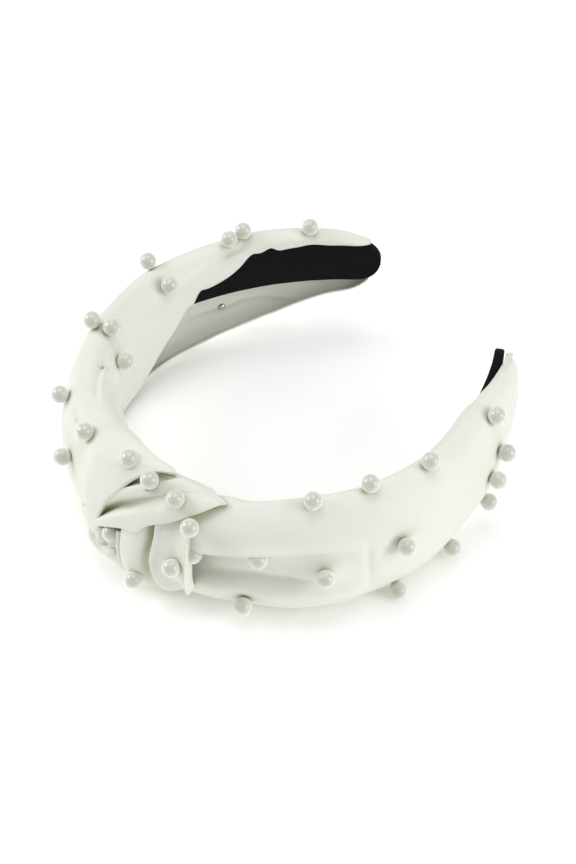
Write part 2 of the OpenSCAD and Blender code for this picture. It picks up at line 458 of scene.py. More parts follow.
def remap(tree, value, span=(0, 1), to=(0, 1)):
    node = add(tree, "ShaderNodeMapRange")
    for name, limit in zip(("From Min", "From Max", "To Min", "To Max"), (*span, *to)):
        node.inputs[name].default_value = limit
    feed(tree, node.inputs["Value"], value)
    return node.outputs["Result"]


def mix(tree, share, a, b, kind="RGBA", mode="MIX"):
    node = add(tree, "ShaderNodeMix", data_type=kind, blend_type=mode)
    first, second, out = MIX_SOCKETS[kind]
    for k, value in ((0, share), (first, a), (second, b)):
        feed(tree, node.inputs[k], value)
    return node.outputs[out]


def bump(tree, height, strength, distance, under=None):
    """The normal of a bump, over the bump under it. distance is in metres."""
    node = add(tree, "ShaderNodeBump", Strength=strength, Distance=distance)
    feed(tree, node.inputs["Height"], height)
    if under:
        feed(tree, node.inputs["Normal"], under)
    return node.outputs["Normal"]


def tinted(color, by):
    return tuple(c * k for c, k in zip(color, by))


def satin_material(name, tint=(0.86, 0.865, 0.79)):
    mat, tree = new_material(name)
    # slow unevenness of the dye
    patch = texture(tree, Scale=60.0, Detail=3.0)
    dye = ramp(tree, patch, tinted(tint, (0.975, 0.975, 0.96)), tint, (0.3, 0.7))
    # painted shade: ambient occlusion turns the base colour a darker warm olive in folds and hollows,
    # standing in for the shade there and the cloth's tint in light bounced about the fold
    hollow = add(tree, "ShaderNodeAmbientOcclusion", Distance=0.008, samples=8)
    openness = remap(tree, hollow.outputs["AO"], (0.1, 0.75))
    painted_fold_shade = (*tinted(tint, (0.62, 0.63, 0.46)), 1)
    # satin weave: fine steep twill lines over a finer yarn grain
    twill = texture(tree, "ShaderNodeTexWave", wave_type="BANDS", bands_direction="DIAGONAL",
                    Scale=900.0, Distortion=1.5, Detail=1.0)
    grain = texture(tree, Scale=2600.0, Detail=2.0)
    weave = bump(tree, mix(tree, 0.5, twill, grain, "FLOAT"), 0.12, 0.00008)
    crinkle = texture(tree, Scale=170.0, Detail=2.0)
    surface(tree, {
        "Base Color": mix(tree, openness, painted_fold_shade, dye),
        "Normal": bump(tree, crinkle, 0.12, 0.0006, weave),
        "Roughness": remap(tree, grain, to=(0.5, 0.62)),
        "Sheen Weight": 0.25,
        "Sheen Roughness": 0.4,
        "Sheen Tint": (1, 1, 0.97, 1),
        "Specular IOR Level": 0.35,
    })
    return mat


def velvet_material():
    mat, tree = new_material("black_velvet")
    pile = texture(tree, Scale=2200.0, Detail=3.0)
    nap = texture(tree, Scale=120.0, Detail=3.0)
    surface(tree, {
        "Base Color": ramp(tree, nap, (0.0055, 0.0055, 0.006), (0.0095, 0.0095, 0.0105)),
        "Normal": bump(tree, pile, 0.5, 0.00025),
        "Roughness": 0.95,
        "Specular IOR Level": 0.1,
        "Sheen Weight": 0.06,
        "Sheen Roughness": 0.35,
    })
    return mat


def pearl_material():
    mat, tree = new_material("faux_pearl")
    cloud = texture(tree, Scale=420.0, Detail=3.0)
    # painted reflection: the pearl's colour is a darker grey-green where it faces the camera and near white
    # towards its rim
    edge = add(tree, "ShaderNodeLayerWeight", Blend=0.35)
    body = ramp(tree, edge.outputs["Facing"], (0.68, 0.69, 0.6), (0.95, 0.95, 0.9), (0.1, 0.6))
    surface(tree, {
        "Base Color": mix(tree, 0.12, body, cloud, mode="MULTIPLY"),
        "Normal": bump(tree, cloud, 0.06, 0.0001),
        "Roughness": 0.3,
        "Coat Weight": 1.0,
        "Coat Roughness": 0.04,
        "Subsurface Weight": 0.1,
        "Subsurface Scale": 0.0015,
    })
    return mat


def metal_material():
    mat, tree = new_material("rivet_steel")
    fine = texture(tree, Scale=1500.0, Detail=2.0)
    surface(tree, {
        "Base Color": ramp(tree, fine, (0.5, 0.5, 0.48), (0.66, 0.66, 0.64)),
        "Roughness": remap(tree, fine, to=(0.16, 0.34)),
        "Metallic": 1.0,
    })
    return mat


def plastic_material():
    mat, tree = new_material("core_plastic")
    grain = texture(tree, Scale=700.0, Detail=2.0)
    surface(tree, {
        "Base Color": ramp(tree, grain, (0.5, 0.5, 0.48), (0.58, 0.58, 0.56)),
        "Normal": bump(tree, grain, 0.2, 0.0001),
        "Roughness": 0.5,
    })
    return mat


SATIN = satin_material("ivory_satin")
THREAD = satin_material("ivory_thread", (0.8, 0.79, 0.7))
VELVET = velvet_material()
PEARL = pearl_material()
STEEL = metal_material()
PLASTIC = plastic_material()


# ---- finishing a piece ----

def finish_piece(piece, mat, node):
    """Gives a piece its material and hides the CAD node it stands for."""
    piece.data.materials.clear()
    piece.data.materials.append(mat)
    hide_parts(node)


def face_outward(piece):
    """Makes the mesh's normals point away from the strip's line."""
    mesh = piece.data
    up = 0
    for p in list(mesh.polygons)[:: max(1, len(mesh.polygons) // 400)]:
        c = np.array(p.center)
        # nearest point of the crown's circle, whose centre lies CROWN_R behind the front
        middle = np.array([-MID_X, CROWN_R - MID_Y]) * MM
        near = middle + unit(c[:2] - middle) * CROWN_R * MM
        up += math.copysign(1, np.dot(np.array(p.normal), c - np.array([*near, 25 * MM])))
    if up < 0:
        mesh.flip_normals()


def satin_piece(name, grid, thick, node):
    """One sheet of satin over a grid of points."""
    piece = mesh_of(name, grid)
    face_outward(piece)
    thicken(piece, thick)
    finish_piece(piece, SATIN, node)
    return piece


def flex_with(piece, arm):
    """Bakes a piece's placement into its mesh; the arm's bend places are worked out but nothing bends."""
    start, end = [tuple(at(s, 0, FLEX_Z)) for s in FLEX[arm]]
    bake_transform(piece)


# ---- the covers ----

OUTER_ANGLES = [-66, -44, -22, 0, 24, 48, 70]
KNOT_ANGLES = [-102, -88, -62, -36, -12, 10, 32, 54, 74, 94, 112, 130, 148, 166, 184]


def oval(low, top, bulge, a):
    """(n, z) at angle a up an oval from low to top that reaches out to n = bulge."""
    r = math.radians(a)
    return (1 + (bulge - 1) * math.cos(r), (top + low) / 2 + (top - low) / 2 * math.sin(r))


def left_section(low, top, bulge, inner):
    """Hem, outside, top and the inner ply down to its free edge."""
    return [(-1.2, low + 1.2), (0.4, low)] + [oval(low, top, bulge, a) for a in OUTER_ANGLES] + inner


# distance along the arm: bottom, top, bulge and the inner ply's (n, z) points
LEFT = {
    14: (0.6, 44.6, 11.2, [(0.5, 45), (-3.2, 44.4), (-6, 42), (-8.2, 36), (-9.6, 25), (-6, 3)]),
    26: (0.4, 42.8, 11.2, [(0.5, 42.8), (-2.8, 42.6), (-5.2, 40.6), (-8.8, 35.5), (-10.6, 25), (-6, 2.5)]),
    45: (0.4, 43.0, 9.6, [(1.0, 43), (-3.0, 42.2), (-5.8, 38.4), (-7.8, 33.5), (-8.2, 23), (-5, 2)]),
    60: (0.2, 43.3, 8.2, [(1.2, 43.3), (-2.4, 42), (-5, 38.6), (-7.2, 33), (-6.9, 22), (-4.6, 1.8)]),
    75: (0.1, 43.8, 8.0, [(1.5, 43.8), (-1.8, 42.4), (-4.6, 38.6), (-7, 33), (-6.6, 21), (-5.2, 3.4)]),
    85: (0.1, 44.3, 8.8, [(1.6, 44.3), (-1.6, 43.2), (-4.4, 40), (-6.8, 34.5), (-6.7, 25), (-5.8, 10.5)]),
    95: (0.6, 44.7, 10.0, [(1.4, 44.7), (-1.6, 43.9), (-4.4, 41.4), (-7.4, 37), (-6.8, 29), (-5.5, 18.6)]),
    103: (1.8, 45, 10.5, [(1.2, 45), (-1.6, 44.2), (-4.2, 42), (-7, 39.4), (-6.8, 33.4), (-5, 27)]),
    109: (2.9, 45.2, 10.5, [(1.2, 45.2), (-1.2, 44.6), (-3.4, 42.8), (-6.6, 40.7), (-6, 35), (-3.2, 30)]),
    117: (4.3, 45.6, 10.4, [(1.2, 45.6), (-1, 45), (-2.9, 43.2), (-5.2, 40.8), (-4.9, 36), (-3, 31.6)]),
    122: (5.2, 45.8, 10.4, [(1.2, 45.8), (-1, 45.3), (-2.8, 43.8), (-4.4, 41.6), (-4.4, 37.4), (-3, 33.4)]),
    127: (6, 46, 10.3, [(1.2, 46), (-0.8, 45.6), (-2.5, 44.5), (-3.8, 42.8), (-3.9, 40), (-3, 37.2)]),
    130: (6.7, 46.2, 10.3, [(1.2, 46.2), (-0.7, 45.9), (-2.1, 45), (-3.2, 43.8), (-3.4, 42.9), (-3, 42)]),
    132: (7.2, 46.3, 10.2, [(1.2, 46.3), (-0.6, 46), (-1.8, 45.3), (-2.8, 44.2), (-3.2, 42.8),
          (-2.9, 41.4)]),
    150: (13.2, 45.5, 8.6, [(1.2, 45.5), (-0.4, 45.2), (-1.6, 44.7), (-2.6, 43.9), (-3, 42.4),
          (-2.7, 40.9)]),
    160: (16.6, 44.8, 7, [(1.2, 44.8), (-0.4, 44.5), (-1.6, 43.9), (-2.5, 43), (-2.8, 41.8), (-2.5, 40.6)]),
    164: (17, 44.2, 6.2, [(1.2, 44.2), (-0.2, 43.9), (-1.4, 43.4), (-2.4, 42.7), (-2.8, 41.8),
          (-2.6, 40.9)]),
    168: (17.8, 42.8, 5.6, [(1.2, 42.8), (0, 42.6), (-1.2, 42.3), (-2.4, 41.8), (-2.8, 41.3), (-2.6, 40.7)]),
    171: (19.4, 42, 5, [(1.2, 42), (0.2, 41.9), (-0.8, 41.8), (-1.8, 41.6), (-2.6, 41.1), (-2.6, 40.5)]),
    173: (21, 41.6, 4.4, [(1.4, 41.6), (0.6, 41.6), (-0.2, 41.5), (-1, 41.3), (-1.8, 41.1), (-2.5, 40.8)]),
    175: (23.6, 40.4, 3.6, [(1.8, 40.4), (1.5, 40.4), (1.2, 40.3), (0.9, 40.3), (0.5, 40.2), (0.1, 40.1)]),
    176: (25.6, 39.2, 3.2, [(2.1, 39.2), (2.1, 39.1), (2.1, 39), (2.1, 38.9), (2.1, 38.8), (2.1, 38.6)]),
}


def right_section(low, top, bulge, ply=None, top_n=1.0):
    """Hem, folds, the upper ply's edge, outside and top. ply lists the folds' points."""
    folds = ply or [oval(low, top, bulge, a) for a in (-62, -30, -8, 4, 10, 14, 18)]
    outside = [oval(low, top, bulge, a) for a in (34, 52, 72)]
    return [(-1.2, low + 1.2), (0.6, low)] + folds + outside + [(top_n, top)]


# distance along the arm: bottom, top, bulge, the folds' (n, z) points and the top's n
RIGHT = {
    24: (0.8, 39.8, 10.5, [(8, 6.5), (9.8, 13.2), (6, 17.4), (4.8, 21), (4.2, 24.8), (5.8, 26.8),
         (9.6, 27.2)]),
    34: (0.5, 40.8, 12.2, [(9.4, 6.8), (11.6, 14.2), (7, 17.6), (5.6, 21.4), (4.8, 25.6), (7.4, 27.8),
         (12.1, 28.4)]),
    41: (0.2, 42.8, 12.4, [(9.6, 6.4), (12, 14), (7.4, 17.8), (6.4, 22), (5.4, 26.8), (8.6, 29.2),
         (12.6, 30.2)]),
    50: (0.1, 44.9, 12.4, [(9.5, 6), (12.2, 13.6), (8.2, 18), (7.2, 22.6), (6.4, 28.4), (9.6, 31),
         (12.7, 32)]),
    60: (0, 46.4, 12.4, [(9.4, 5.4), (12.4, 13), (9.4, 18), (8.6, 23.2), (7.8, 29.8), (10.2, 32.4),
         (12.6, 33.6)]),
    70: (0, 47.2, 12.4, [(9.3, 5), (12.4, 12.4), (10.8, 17.6), (10.2, 23.6), (9.4, 30.4), (10.9, 32.6),
         (12.4, 34)]),
    77: (0, 47.1, 12.4, [(9.2, 5), (12.3, 12.2), (11.9, 18), (11.6, 24), (11.1, 29.8), (11.7, 31.6),
         (12.3, 33.2)]),
    82: (0, 47.0, 12.5),
    100: (0.3, 46.4, 12.8),
    117: (2.0, 46.0, 12.0),
    135: (6.1, 45.5, 11.3),
    145: (9.5, 45, 10.3, None, 1.6),
    150: (11.4, 44.4, 9.8, None, 2),
    156: (13.4, 43.2, 8.8, None, 2.6),
    163: (15.4, 42, 8, None, 3),
    168: (18.4, 40.6, 7.4, None, 3.4),
    171: (21.4, 39, 7, None, 3.8),
    172.6: (24.5, 37.2, 6.2, None, 3.8),
    173.4: (28, 35.6, 5, None, 3.4),
}
# The inner side of the right cover: its free edge climbs towards the tip, as on the left
RIGHT_EDGE = {24: (-5, 12), 34: (-6.5, 3), 75: (-7, 2), 85: (-6.5, 6.5), 103: (-4.2, 22), 112: (-3, 31),
              126: (-3, 36.5), 132: (-2.9, 39.2), 140: (-2.8, 40.6), 145: (-1.8, 41.9), 150: (-0.2, 41.9),
              156: (0.7, 41.8), 163: (1.6, 41.4), 168: (2.3, 39.4), 171: (2.5, 37.6), 172.6: (2.6, 36),
              173.4: (2.6, 34.8)}
# How far down from the top to that edge each point of the inner side lies, and how far in
INNER_DOWN = ((0.12, 0.45), (0.34, 0.95), (0.68, 1.12))

# (s, n, z) points of each crease, then its width, depth and the step across it
LEFT_CREASES = [
    ([(-130, -1, 45.6), (-125.5, -2.3, 44.1), (-120.5, -3.3, 43), (-116, -4.8, 41.9), (-111, -6.3, 40.7),
      (-107, -7, 38.6)], 1.7, 1.2, 0),
    ([(-74.5, -5, 38), (-70, -5.6, 37.6), (-65, -5.8, 37.2), (-59, -6.1, 36.8)], 2.6, 1.4, 0),
    ([(-48, -4.2, 40.9), (-39.5, -3.8, 41.4), (-31.5, -2.9, 42.5), (-21.5, -1.6, 43.7)], 2.6, 0.7, 2),
    ([(-47.5, -5.4, 39.4), (-45, -4.6, 40.5), (-42.5, -4.2, 40.9)], 1.5, 2.2, 0),
    ([(-41, -6.6, 37.5), (-46, -8.4, 31), (-51, -9.4, 24)], 1.4, 0.5, 0),
    ([(-23, -3.4, 43), (-36, -7.2, 36), (-48, -9.2, 24)], 1.4, 0.5, 0),
    ([(-26, 6.6, 39.7), (-22.5, 7, 39.9), (-19.5, 7, 39.5)], 0.9, -0.3, 1.3),
    ([(-109, 8, 9.9), (-115, 8, 10.2), (-123.5, 7.4, 10.7), (-129, 7.4, 12.2), (-136.5, 6.6, 12.8),
      (-142.5, 4.7, 12.4), (-150, 0.6, 13.1)], 1.2, -0.9, 0),
    ([(-96, -1, 44.6), (-92, -4.6, 41), (-89, -7, 36)], 2.2, 0.6, 0),
    ([(-10, 8.5, 40.5), (4, 6.5, 44.4), (11.7, 2.9, 47.1), (16.3, 1.1, 48)], 1.8, -0.45, 0),
]
RIGHT_CREASES = [
    ([(31, 8.2, 17.2), (40, 8, 17.8), (49, 8.2, 18.6), (56, 9.1, 19), (62, 10.4, 19.4),
      (67, 11.5, 19.6)], 1.1, 1.3, 0),
    ([(80.4, 12.1, 33), (80.8, 12.4, 21.6), (82.4, 10, 8.6)], 1.7, 0.7, 0),
    ([(84.8, 12.6, 26.6), (87.5, 12.3, 29), (90, 11.9, 31)], 2, 1, 0),
    ([(49.4, 11.4, 12.7), (60, 11.2, 10.4), (73.5, 10.9, 8.8)], 1, 0.4, 0),
    ([(125.5, 1.7, 45.7), (133, 1.4, 45.4), (141, 1.3, 44.8)], 1.3, 0.5, 0.5),
    ([(96, 9, 37), (106, 10, 32), (118, 10, 27)], 2.6, 0.35, 0),
]
# The left cover's free edge dips and rises where the cloth was gathered: place, rise and reach
EDGE_WAVES = [(106, -1.6, 1.6), (110, 1.0, 2), (133, -0.5, 2), (137.4, 1.2, 2), (141, -0.5, 2.4),
              (153, 0.9, 5)]

# The left cover's end lies folded on the knot: (angle, s) of the fold and (angle, height) of the cloth there
FOLD_LINE = [(-110, -5), (-60, -5), (-36, -2), (-12, 2.5), (4, 4.6), (10, 4.6), (19, 5), (33, 6.3), (46, 8.7),
             (59, 11.1), (67, 13.1), (73, 15.2), (79, 18), (84, 22), (90, 22.5), (100, 14), (110, 7),
             (125, 3), (150, 1), (190, 0)]
FOLD_HEIGHT = [(-110, -1.6), (-60, -1.4), (-30, -0.8), (-15, -0.2), (0, 0.1), (14, 1.2), (28, 2), (84, 2),
               (93, 1.3), (102, 0.2), (112, -0.2), (150, -0.4), (190, -0.4)]
# Its rows run from the fold to ARM_FROM, then along the arm to LEFT_END; the shape eases from arm to knot
ARM_FROM, LEFT_END = -24, -174.2
EASE_FROM, EASE_TO = -13.0, -1.0


def sections(table, stations, sigma):
    """A fine section at each station, smoothed along the arm."""
    return np.array([spline(row, SECTION_STEPS) for row in blur(between(table, stations), sigma)])


def turned_under(grid, angles):
    """The rows that turn the left cover's end under itself. They come before the grid's own."""
    out = unit(grid[0] - grid[3])
    up = normals_of(grid)[0] * away_sign(grid, 0, 60, at(10, 0, 25))
    # the turn is tighter at the back, where the fold is pulled flat
    radius = (0.9 - 0.65 * smooth((angles - 100) / 25))[:, None] * MM
    rows = [grid[0] + out * (radius * math.sin(p)) - up * (radius * (1 - math.cos(p)))
            for p in np.radians([30, 60, 90, 120, 150, 180])]
    rows += [grid[0] - out * back * MM - up * 2 * radius for back in (1, 2.5, 4)]
    return np.array(rows[::-1])


def cover_left():
    # a section at every half millimetre, read between for each point of the grid
    stations = np.linspace(-26, 176, 405)
    arm = sections({d: left_section(*v) for d, v in LEFT.items()}, stations, 3.5)
    angles = spline(np.array(KNOT_ANGLES, float)[:, None], SECTION_STEPS)[:, 0]
    fold_s = look_up(FOLD_LINE, angles)
    on_knot = np.linspace(0, 1, 90)[:, None]
    on_arm = np.linspace(0, 1, 300)[1:, None] + 0 * angles
    s_grid = np.concatenate([fold_s * (1 - on_knot) + ARM_FROM * on_knot,
                             ARM_FROM * (1 - on_arm) + LEFT_END * on_arm])
    d_grid = -s_grid
    place = np.clip((d_grid - stations[0]) / (stations[1] - stations[0]), 0, len(stations) - 1)
    lo = np.clip(np.floor(place).astype(int), 0, len(stations) - 2)
    f = (place - lo)[..., None]
    cols = np.arange(len(angles))
    nz = arm[lo, cols] * (1 - f) + arm[lo + 1, cols] * f
    # only the last fifth of the section follows the free edge's waves
    near_edge = smooth((cols / (len(cols) - 1) - 0.8) / 0.2)
    for where, rise, reach in EDGE_WAVES:
        nz[..., 1] += rise * np.exp(-((d_grid - where) / reach) ** 2) * near_edge
    arm_xyz = at(s_grid, nz[..., 0], nz[..., 1])
    knot_xyz = knot(s_grid, angles, look_up(FOLD_HEIGHT, angles))
    # the upper part eases over sooner
    low = 1 - smooth((angles - 5) / 35)
    w = smooth((s_grid - (EASE_FROM + 7 * low)) / (EASE_TO - EASE_FROM - 4 * low))[..., None]
    grid = arm_xyz * (1 - w) + knot_xyz * w
    outside = away_sign(grid, 200, 60, at(s_grid[200, 60], 0, 25))
    n = normals_of(grid) * outside
    grid = grid + n * lumps(grid, 17, 0.5, 3.1)[..., None]
    grid = grid + n * lumps(grid, 7, 0.12, 8.1)[..., None]
    for line, width, depth, step in LEFT_CREASES:
        grid = crease(grid, outside, line, width, depth, step)
    grid = meet_pearls(grid, "left")
    grid = np.concatenate([turned_under(grid, angles), grid])
    piece = satin_piece("cover_left_satin", grid, COVER_THICK, "cover_left")
    flex_with(piece, "left_arm")


def rolled_end():
    """The corner of the left cover's fold, rolled up at the foot of the knot."""
    path = [(1.6, -3, -1.4), (2.4, -7, -0.8), (3.8, -12, -0.5), (6.6, -15.5, -0.5), (9.6, -13, -0.6),
            (11.4, -9, -1.2)]
    line = even(knot(*spline(np.array(path), 10).T), 44)
    heading = unit(np.gradient(line, axis=0))
    across = unit(np.cross(heading, line - at(6, -2, 20)))
    away = np.cross(across, heading)
    f = np.linspace(0, 1, len(line))
    radius = 0.5 + 1.2 * np.sqrt(np.clip(np.minimum(f / 0.25, (1 - f) / 0.12), 0, 1))
    ring = np.linspace(0, 2 * math.pi, 24, endpoint=False)
    # a spiral section, so the rolled layers show
    swell = 1 - 0.22 * ring / (2 * math.pi)
    size = radius[:, None] * swell * MM
    grid = line[:, None] + (np.cos(ring) * size)[..., None] * away[:, None]
    grid = grid + (np.sin(ring) * size)[..., None] * across[:, None]
    grid = grid + normals_of(grid, closed=True) * lumps(grid, 4, 0.3, 7.7)[..., None]
    piece = closed_mesh_of("cover_left_rolled", grid)
    finish_piece(piece, SATIN, "cover_left")
    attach(piece, "crown")


def right_table():
    """The right cover's sections, with the inner side's points set between its top and its free edge."""
    table = {}
    stations = sorted(RIGHT)
    for d, (edge_n, edge_z) in zip(stations, between(RIGHT_EDGE, stations)):
        outer = right_section(*RIGHT[d])
        top_n, top = outer[-1]
        inner = [(1 + (edge_n - 1) * across, top + (edge_z - top) * down) for down, across in INNER_DOWN]
        if d < 45:
            # round the sleeve's inner corner
            inner[0] = (-2.8, top - 1.4)
        if d > 140:
            # the ply ends on top of the sleeve, then outside it
            inner = [(top_n + (edge_n - top_n) * f, top + (edge_z - top) * f) for f in (0.3, 0.6, 0.85)]
        table[d] = outer + inner + [(edge_n, edge_z)]
    return table


def cover_right():
    stations = np.linspace(24, 172.2, 371)
    rows = sections(right_table(), stations, 5)
    grid = at(stations[:, None], rows[..., 0], rows[..., 1])
    outside = away_sign(grid, 200, 60, at(stations[200], 0, 25))
    grid = grid + normals_of(grid) * outside * lumps(grid, 19, 0.45, 5.3)[..., None]
    for line, width, depth, step in RIGHT_CREASES:
        grid = crease(grid, outside, line, width, depth, step)
    grid = meet_pearls(grid, "right")
    piece = satin_piece("cover_right_satin", grid, COVER_THICK, "cover_right")
    flex_with(piece, "right_arm")


cover_left()
rolled_end()
cover_right()


# ---- the knot ----

# Guide lines of each band, each a list of (s, a, off)
OVER = [
    [(6, 10, -4), (13, 24, -4), (20, 36, -4), (27, 48, -4), (34, 62, -4), (40, 72, -2.5)],
    [(5.2, 7.5, -1), (9, 15.5, -1.2), (13.2, 21.5, -1.2), (17.6, 25, -1.2), (20.8, 34, -1.2),
     (26.8, 44, -1.2), (30.6, 52, -1.2), (34.8, 60.5, -1.2), (41, 71.5, -1.2)],
    [(5, 6.5, 0.6), (9, 14, 1), (13.2, 20, 1.2), (17.6, 23.5, 1.4), (20.8, 32, 1.4), (26.8, 42, 1.3),
     (30.7, 50, 1.3), (34.8, 58.5, 1.2), (41, 71, 0.3)],
    [(4.2, 9, 1), (8.9, 19, 1.9), (12.3, 26, 2.2), (15.8, 32, 2.2), (20.1, 39.5, 2.2), (26.1, 51, 1.9),
     (31.9, 62, 1.6), (37, 68.5, 1), (41, 72, 0.3)],
    [(3.2, 9.5, 0.6), (7.6, 21, 1.4), (11, 29.6, 1.6), (14.6, 36, 1.6), (19, 44.8, 1.5), (24, 53.5, 1.3),
     (30, 65, 1.3), (37, 71.5, 0.8), (40.6, 73, 0.2)],
    [(2.6, 9.5, -2.2), (6.3, 23.5, -2.4), (9.8, 33, -2.2), (13.5, 40, -1.9), (17.2, 48.5, -1.3),
     (20.5, 55.5, -0.5), (26, 65, 0.5), (33, 75, 0.8), (40, 74.5, 0)],
    [(3.2, 13, -0.4), (6.1, 26.8, 0.4), (9, 37.4, 0.7), (12.6, 45.6, 0.8), (17, 53.6, 0.8), (21.2, 61, 0.7),
     (26, 70, 0.8), (33, 77, 0.8), (39, 76.5, 0)],
    [(4.4, 17, 0.5), (6.1, 30, 1.1), (7.6, 38, 1.3), (9.3, 47, 1.3), (12.4, 54, 1.2), (16.8, 61.6, 1.1),
     (20.6, 71, 1), (24.5, 79, 1), (31, 82, 0.7), (37.6, 79.5, 0)],
    [(5, 19, -2), (6.6, 34, -2.3), (8.4, 43, -1.4), (10.5, 53, -1.2), (13, 61, -1.1), (17, 69, -1.1),
     (21, 77, -0.8), (25, 85, 0), (30, 88, 0.3), (36, 85, -0.2)],
    [(5, 22, -3), (6, 38, -2.2), (7, 50, -1.8), (10, 62, -1.6), (14, 72, -1.6), (18, 82, -1.4), (23, 91, -1),
     (29, 94, 0), (35, 91, -0.4)],
    [(4, 60, -4.6), (6, 80, -4.6), (10, 95, -4), (16, 104, -2.6), (24, 104, -0.9), (29, 104, -0.2),
     (34, 100, -0.6)],
    [(4, 110, -3.4), (10, 120, -2.4), (18, 122, -1.2), (26, 119, -0.6), (30, 117, -0.5), (33.5, 113, -0.8)],
    [(4, 140, -1.6), (12, 144, -1), (20, 146, -0.8), (28, 136, -0.8), (31, 132, -0.8), (33, 130, -1)],
]
WRAP = [
    [(13.5, 27, -3.6), (14, 10, -3.6), (14.5, -8, -3.6), (15, -28, -3.4), (17, -50, -3), (18, -84, -2.5)],
    [(12.4, 27, -0.8), (12.8, 17, -0.4), (13.4, 7, -0.2), (14, -9, -0.2), (14.3, -27, -0.3),
     (15.5, -45, -0.4), (17, -65, -0.6), (18, -90, -1)],
    [(14, 28, 0.3), (14.2, 12, 0.7), (14.8, -8, 0.8), (15.6, -28, 0.6), (17, -48, 0.3), (18.6, -68, 0),
     (20, -90, -0.8)],
    [(17, 31, 0.5), (17.2, 14, 0.9), (17.4, -6, 1), (18.2, -26, 0.9), (19.6, -46, 0.6), (21.4, -66, 0.2),
     (22.5, -90, -0.7)],
    [(19.8, 33, -0.4), (20, 15, -0.2), (19.4, 0, -0.1), (20, -14, 0.1), (21, -34, 0.3), (23, -60, 0.2),
     (24, -90, -0.7)],
    [(21.2, 35, -3.4), (21.7, 23, -3.6), (20.9, 10, -3.6), (20.9, -3, -3.5), (21.6, -19, -3),
     (23.4, -38, -1.9), (25.4, -62, -1), (26, -90, -1)],
    [(22.4, 36, 0.3), (23, 27, 0.5), (23, 18, 0.6), (23.2, 4, 0.6), (24.2, -9, 0.6), (26, -24, 0.5),
     (27.6, -45, 0.3), (28.5, -70, 0), (28.5, -90, -0.8)],
    [(24, 39, -0.3), (24.5, 29, -0.4), (24.6, 17, -0.5), (25, 4, -0.6), (26.2, -9, -0.7), (27.6, -22, -0.7),
     (29, -45, -0.4), (29.6, -70, -0.4), (29.6, -90, -1)],
    [(27.4, 43, -1.3), (28.1, 31, -1.2), (28.6, 18, -1.1), (29, 4, -1.1), (29.4, -8, -1.6), (30, -22, -2.6),
     (31, -44, -1.6), (31.2, -90, -1.2)],
    [(30, 48, -0.3), (30.8, 34, -0.2), (31.5, 20, 0), (31.8, 8, 0), (31.9, -2, 0), (32.2, -14, -0.2),
     (31.6, -35, -0.8), (30.4, -58, -2.8), (30, -84, -4.4)],
    [(31, 50, 0.3), (31.9, 34, 0.7), (32.8, 20, 0.9), (33.2, 8, 0.9), (33.2, -2, 0.9), (33.4, -14, 0.8),
     (32.5, -35, -0.4), (31, -58, -2.6), (30.4, -84, -4.4)],
    [(31.8, 50, -3.5), (33.2, 22, -3.5), (33.8, 0, -3.5), (34, -20, -3.5), (33.6, -60, -3), (33, -86, -2.5)],
]
TUCK = [
    [(14, 14, -3), (14.5, -5, -3), (15, -25, -3), (16, -50, -2.6), (17, -86, -2.4)],
    [(11.6, 14, -0.4), (12.2, -4, -0.3), (12.6, -20, -0.3), (13.4, -40, -0.5), (15, -66, -0.8),
     (16, -88, -1)],
    [(10.6, 12, -1.5), (11, -4, -1.4), (11.2, -20, -1.3), (11.8, -40, -1.1), (13.2, -66, -1.2),
     (14.5, -88, -1.4)],
    [(9, 10, -0.3), (9.2, -4, 0), (9.4, -20, 0.1), (10, -40, -0.2), (11.4, -66, -0.6), (13, -88, -1)],
    [(7.6, 8, -1.6), (7.8, -6, -1.5), (8, -20, -1.3), (8.4, -40, -1.2), (9.8, -66, -1.2), (11, -88, -1.4)],
    [(5.6, 6, -0.4), (5.4, -8, 0), (5.8, -20, 0.1), (6.6, -40, -0.2), (8, -66, -0.6), (9, -88, -1)],
    [(3.4, 4, -1.2), (3.2, -10, -0.8), (3.6, -24, -0.8), (4.4, -42, -0.8), (5.6, -66, -1), (6, -88, -1.2)],
    [(1.5, 2, -3), (1.2, -10, -2.8), (1.4, -24, -2.6), (2, -42, -2.4), (3, -66, -2.2), (3, -86, -2)],
    [(-3, 0, -3.4), (-3, -10, -3.2), (-3, -24, -3), (-2.5, -42, -2.8), (-2, -66, -2.6), (-2, -86, -2.4)],
    [(-6.5, -2, -3.8), (-6.5, -10, -3.6), (-6.5, -24, -3.4), (-6, -42, -3.2), (-6, -66, -3),
     (-6, -86, -2.8)],
]
# The band at the back: (n, z from its top) down its height, and (s, z) of its top
INNER_PATH = [(1.6, 0.2), (-1.5, 0.1), (-3.6, -0.4), (-5, -2), (-5.35, -6), (-5.35, -14), (-5.35, -24),
              (-5.3, -32), (-5, -37.4), (-4, -40.2), (-1.5, -41.4), (2, -41.5)]
INNER_TOP = [(-7, 43.4), (-3, 45), (10, 45.2), (18, 44.2), (24, 42.6), (29, 41), (33, 39.8)]
INNER_FROM, INNER_TO = -7.5, 33.0
INNER_BOTTOM, INNER_HEIGHT = 2.3, 41.5
PLEAT_HEIGHT, PLEAT_PITCH = 0.42, 8.6


def knot_piece(name, guides, along, across, node, seed, rise=1.6):
    """A pleated band of the knot. rise is how far it may lift to meet a pearl."""
    grid = pleated(guides, along, across)
    sign = away_sign(grid, len(grid) // 2, along // 2, at(15, 1, 24))
    grid = grid + normals_of(grid) * sign * lumps(grid, 9, 0.3, seed)[..., None]
    grid = meet_pearls(grid, "knot", reach=3.4, limit=rise)
    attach(satin_piece(name, grid, KNOT_THICK, node), "crown")


